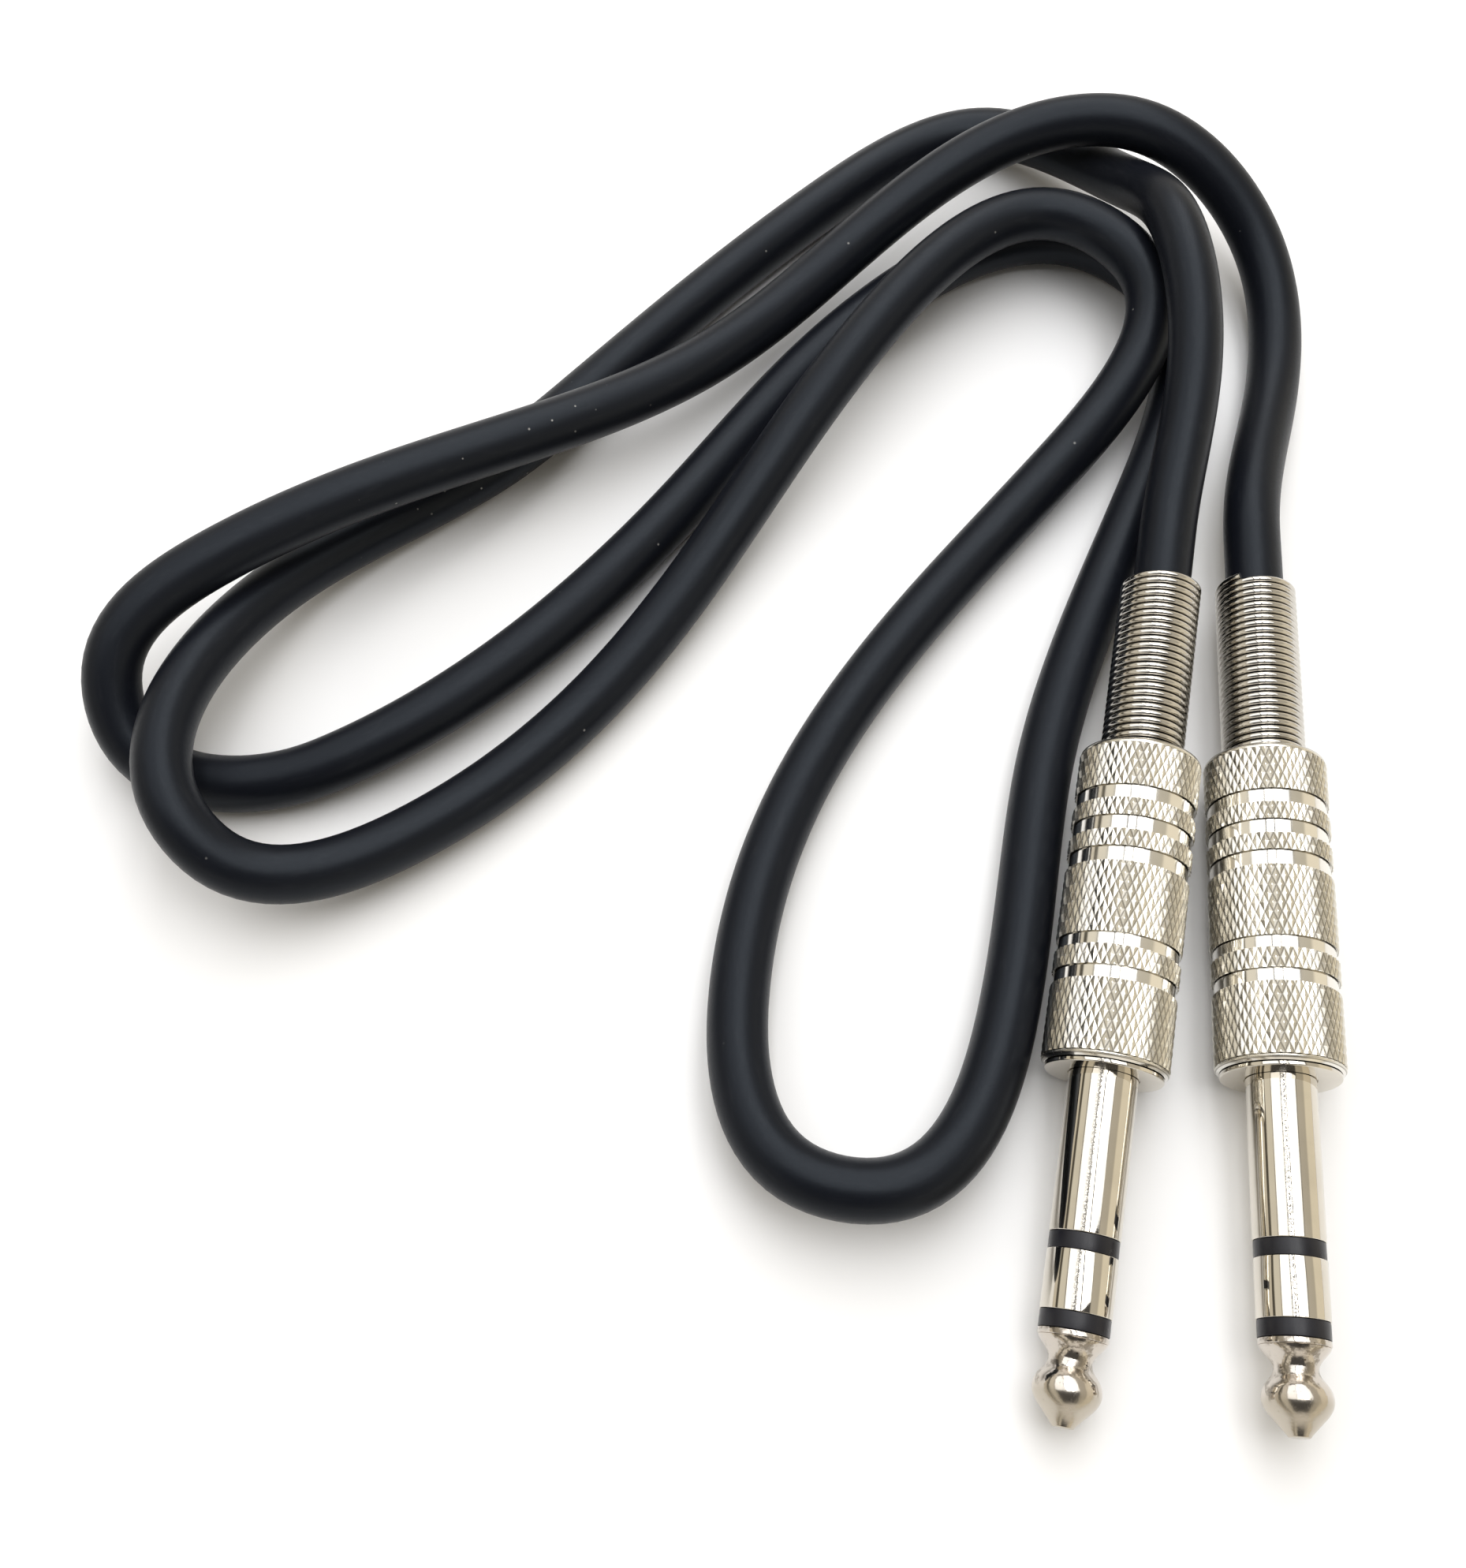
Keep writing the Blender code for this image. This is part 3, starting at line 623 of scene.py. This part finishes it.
def wrap(shape):
    """Wrap flat (turns, along, height) points round the barrel, in metres."""
    for vert in shape.verts:
        angle = vert.co.x * math.tau
        radius = (BARREL_RADIUS_MM + vert.co.z) * MM
        vert.co = (radius * math.cos(angle), radius * math.sin(angle), vert.co.y * MM)


def barrel_mesh():
    """The shell: knurled bands, polished grooves, rims, tail hole and the bore."""
    radius = BARREL_RADIUS_MM
    front_rim = 31.73
    back_rim = BARREL_BACK_MM - 0.62
    edges = [front_rim] + [station for groove in GROOVES_MM for station in groove] + [back_rim]
    bands = list(zip(edges[0::2], edges[1::2]))
    low = radius - KNURL_DEPTH_MM - 0.01
    outline = [(BARREL_FRONT_MM, 4.65)]
    outline += arc(BARREL_FRONT_MM + 0.1, radius - 0.42, 0.1, 180, 120, 2)
    outline += arc(front_rim - 0.2, radius - 0.18, 0.14, 135, 60, 4)
    outline += [(front_rim, low)]
    for (_, front), (back, _) in zip(bands, bands[1:]):
        outline += [(front, low), (front, GROOVE_RADIUS_MM), (back - 0.1, GROOVE_RADIUS_MM)]
        outline += [(back - 0.1, GROOVE_RADIUS_MM - 0.25), (back, GROOVE_RADIUS_MM - 0.25)]
        outline += [(back, low)]
    outline += [(back_rim, low), (back_rim, radius - 0.06)]
    outline += arc(BARREL_BACK_MM - 0.55, radius - 0.6, 0.55, 80, 0, 7)
    outline += arc(BARREL_BACK_MM - 0.15, TAIL_HOLE_MM + 0.15, 0.15, 0, -90, 3)
    outline += [(59.2, TAIL_HOLE_MM), (59.2, 4.85), (39.8, 4.85), (39.4, 4.65)]
    mesh = turned_mesh("barrel_core", outline, 144)
    joined = bmesh.new()
    joined.from_mesh(mesh)
    for start, end in bands:
        skin = knurled_band(start, end)
        wrap(skin)
        bmesh.ops.recalc_face_normals(skin, faces=skin.faces)
        part = bpy.data.meshes.new("band")
        skin.to_mesh(part)
        skin.free()
        joined.from_mesh(part)
    bmesh.ops.remove_doubles(joined, verts=joined.verts, dist=1e-7)
    joined.to_mesh(mesh)
    joined.free()
    return mesh


def tube_rings(line, radius_at, sides, closed_ends=True):
    """Points and faces of a round tube along a line, with frames carried without twist."""
    tangents = []
    for i, spot in enumerate(line):
        before = line[max(i - 1, 0)]
        after = line[min(i + 1, len(line) - 1)]
        tangents.append((after - before).normalized())
    across = tangents[0].orthogonal().normalized()
    points = []
    for i, (spot, tangent) in enumerate(zip(line, tangents)):
        across = (across - tangent * across.dot(tangent)).normalized()
        other = tangent.cross(across)
        radius = radius_at(i)
        for side in range(sides):
            angle = math.tau * side / sides
            points.append(spot + (across * math.cos(angle) + other * math.sin(angle)) * radius)
    faces = []
    for i in range(len(line) - 1):
        for side in range(sides):
            following = (side + 1) % sides
            first, second = i * sides, (i + 1) * sides
            faces.append((first + side, first + following, second + following, second + side))
    if closed_ends:
        faces.append(tuple(reversed(range(sides))))
        faces.append(tuple(range((len(line) - 1) * sides, len(line) * sides)))
    return points, faces


def spring_line(back, end_degrees):
    """The wire's centre line: a wide seat inside the tail, then close turns to the mouth.

    The wire stops at end_degrees round the axis, 0 towards the plug's own left, 90 on top.
    """
    wire = SPRING_WIRE_RADIUS_MM
    steps = 72
    seat_turns, narrowing = 1.25, 0.75
    turns = (back - wire - SPRING_SEAT_MM) / SPRING_PITCH_MM
    line = []
    total = round(turns * steps)
    phase = math.radians(end_degrees) - math.tau * total / steps
    for step in range(total + 1):
        turn = step / steps
        share = min(1.0, max(0.0, (turn - seat_turns) / narrowing))
        share = share * share * (3 - 2 * share)
        radius = (SPRING_SEAT_RADIUS_MM - wire) * (1 - share) + (SPRING_RADIUS_MM - wire) * share
        angle = math.tau * turn + phase
        along = SPRING_SEAT_MM + SPRING_PITCH_MM * turn
        line.append(Vector((radius * math.cos(angle), radius * math.sin(angle), along)))
    return line


def make_plug(plug, looks):
    """All visible pieces of one plug."""
    tip = link_piece(f"turned_tip_{plug}", turned_mesh("tip", tip_outline()), looks["tip"], plug)
    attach(tip, BASE_BODY)
    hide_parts(f"tip_contact_{plug}")

    bands = (
        ("front_band", "front_insulator", "insulator", LIP_BACK_MM + 0.02, RING_FRONT_MM - 0.02,
         SHANK_RADIUS_MM - 0.07, 0.75, 42.0),
        ("ring_band", "ring_contact", "plated_contact", RING_FRONT_MM + 0.02, RING_BACK_MM - 0.02,
         SHANK_RADIUS_MM, 1.3, 41.3),
        ("rear_band", "rear_insulator", "insulator", RING_BACK_MM + 0.02, SHANK_FRONT_MM - 0.01,
         SHANK_RADIUS_MM - 0.07, 1.85, 39.9),
    )
    for name, node, slot, front, back, radius, bore, tube_back in bands:
        outline = banded_outline(front, back, radius, bore, tube_back)
        look = looks["insulator"] if slot == "insulator" else looks["contact"]
        band = link_piece(f"{name}_{plug}", turned_mesh(name, outline), look, plug)
        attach(band, BASE_BODY)
        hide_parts(f"{node}_{plug}")

    mesh = turned_mesh("sleeve", sleeve_outline(), 128, thread_height)
    sleeve = link_piece(f"turned_sleeve_{plug}", mesh, looks["contact"], plug)
    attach(sleeve, BASE_BODY)
    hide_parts(f"sleeve_contact_{plug}")

    shell = link_piece(f"knurled_barrel_{plug}", barrel_mesh(), looks["barrel"], plug, 14)
    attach(shell, f"barrel_shell_{plug}")
    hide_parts(f"barrel_{plug}")

    line = spring_line(SPRING_BACK_MM[plug], WIRE_END_DEGREES[plug])
    points, faces = tube_rings(line, lambda i: SPRING_WIRE_RADIUS_MM, 12)
    spring = link_piece(f"wound_spring_{plug}", mesh_from("spring", points, faces),
                        looks["spring"], plug, 50)
    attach(spring, f"strain_relief_{plug}")
    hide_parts(f"strain_relief_spring_{plug}")


# ---------------------------------------------------------------- the cable

def smooth_line(knots, start_direction, end_direction, steps):
    """A finely divided smooth curve through the knots, as in the CAD model."""
    spans = [(b - a).length for a, b in zip(knots, knots[1:])]
    last = len(knots) - 1
    upper = [0.0] * (last + 1)
    tangents = [start_direction] + [None] * (last - 1) + [end_direction]
    for i in range(1, last):
        before, after = spans[i - 1], spans[i]
        arriving = (knots[i] - knots[i - 1]) / before
        leaving = (knots[i + 1] - knots[i]) / after
        pivot = 2 * (before + after) - after * upper[i - 1]
        upper[i] = before / pivot
        tangents[i] = (3 * (after * arriving + before * leaving) - after * tangents[i - 1]) / pivot
    for i in range(last - 1, 0, -1):
        tangents[i] = tangents[i] - upper[i] * tangents[i + 1]
    fine = []
    for i, span in enumerate(spans):
        start, end = knots[i], knots[i + 1]
        for step in range(steps):
            t = step / steps
            rise = t * t * (3 - 2 * t)
            fine.append(start * (1 - rise) + end * rise
                        + tangents[i] * span * t * (1 - t) * (1 - t)
                        + tangents[i + 1] * span * t * t * (t - 1))
    fine.append(knots[-1])
    return fine


def evenly(fine, spacing):
    """Points a fixed distance apart along a finely divided line."""
    travelled = [0.0]
    for a, b in zip(fine, fine[1:]):
        travelled.append(travelled[-1] + (b - a).length)
    count = round(travelled[-1] / spacing)
    points = []
    place = 0
    for number in range(count + 1):
        target = travelled[-1] * number / count
        while place < len(fine) - 2 and travelled[place + 1] < target:
            place += 1
        share = (target - travelled[place]) / (travelled[place + 1] - travelled[place])
        points.append(fine[place].lerp(fine[place + 1], share))
    return points, travelled[-1]


def cable_line():
    """The centre line from clamp to clamp, straight inside both plugs."""
    ends = {}
    for plug in PLUGS:
        place = plug_frame(plug)
        leaves = place @ (Vector((0, 0, CABLE_LEAVES_MM[plug])) * MM)
        start = place @ (Vector((0, 0, CABLE_START_MM)) * MM)
        ends[plug] = (start, leaves, (leaves - start).normalized())
    start_a, leaves_a, out_a = ends["a"]
    start_b, leaves_b, out_b = ends["b"]
    knots = [leaves_a] + [Vector(point) for point in ROUTE] + [leaves_b]
    fine = [start_a] + smooth_line(knots, out_a, -out_b, 60) + [start_b]
    return evenly(fine, 0.0011)


def make_cable(look):
    line, length = cable_line()
    sides = 40

    def radius_at(i):
        swell = noise.noise(line[i] * 60.0)
        return CABLE_RADIUS + 0.00001 * swell

    points, faces = tube_rings(line, radius_at, sides)
    mesh = bpy.data.meshes.new("jacket")
    mesh.from_pydata([tuple(point) for point in points], [], faces)
    mesh.materials.append(look)
    mesh.shade_smooth()
    mesh.set_sharp_from_angle(angle=math.radians(50))
    add_cable_uv(mesh, len(line), sides, length)
    cable = bpy.data.objects.new("cable", mesh)
    bpy.context.scene.collection.objects.link(cable)
    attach(cable, BASE_BODY)
    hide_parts("cable_jacket")


def add_cable_uv(mesh, rings, sides, length):
    """UVs: metres along the cable, and turns round it."""
    layer = mesh.uv_layers.new(name="along_and_round")
    for polygon in mesh.polygons:
        corners = [mesh.loops[i].vertex_index for i in polygon.loop_indices]
        crosses = max(c % sides for c in corners) == sides - 1 and min(c % sides for c in corners) == 0
        for i, vertex in zip(polygon.loop_indices, corners):
            ring, side = divmod(vertex, sides)
            if crosses and side == 0 and len(corners) == 4:
                side = sides
            layer.data[i].uv = (length * ring / (rings - 1), side / sides)


# ---------------------------------------------------------------- put it together

def finish_hidden_nodes():
    """Materials for the CAD pieces that stay, inside the barrels."""
    looks = {
        "ground_clamp": nickel_material("plated_lug", (0.70, 0.68, 0.64), 0.3),
        "ring_lug": plain_finish("tinned_brass", (0.74, 0.66, 0.45), 0.35, 1.0),
        "rear_washer": insulator_material(),
        "liner": plain_finish("milky_liner", (0.78, 0.79, 0.76), 0.35, 0.0),
        "ring_wire": plain_finish("white_core", (0.80, 0.79, 0.75), 0.45, 0.0),
        "tip_wire": plain_finish("red_core", (0.50, 0.03, 0.03), 0.45, 0.0),
        "shield_drain": plain_finish("bare_copper", (0.80, 0.45, 0.28), 0.35, 1.0),
    }
    looks["tip_lug"] = looks["ring_lug"]
    looks["lug_spacer"] = looks["rear_washer"]
    for plug in PLUGS:
        for node, look in looks.items():
            mesh = frame["nodes"][f"{node}_{plug}"].data
            mesh.materials.clear()
            mesh.materials.append(look)


add_camera()
make_cable(jacket_material())
plug_looks = {
    # the tip's nickel is tinted darker than the other contacts: partly the plating's tone, partly
    # painted shade for the shaded floor it reflects
    "tip": nickel_material("nickel_tip", (0.64, 0.59, 0.53), 0.12, tip_pits_and_shade=True),
    "contact": nickel_material("nickel_contact", (0.70, 0.66, 0.585), 0.06, wear_line=True),
    "barrel": nickel_material("nickel_barrel", (0.86, 0.835, 0.78), 0.11, scratch=0.5,
                              knurl_satin_and_shade=True),
    "spring": nickel_material("nickel_spring", (0.62, 0.595, 0.55), 0.10),
    "insulator": insulator_material(),
}
for plug_name in PLUGS:
    make_plug(plug_name, plug_looks)
finish_hidden_nodes()
add_floor()
add_light()
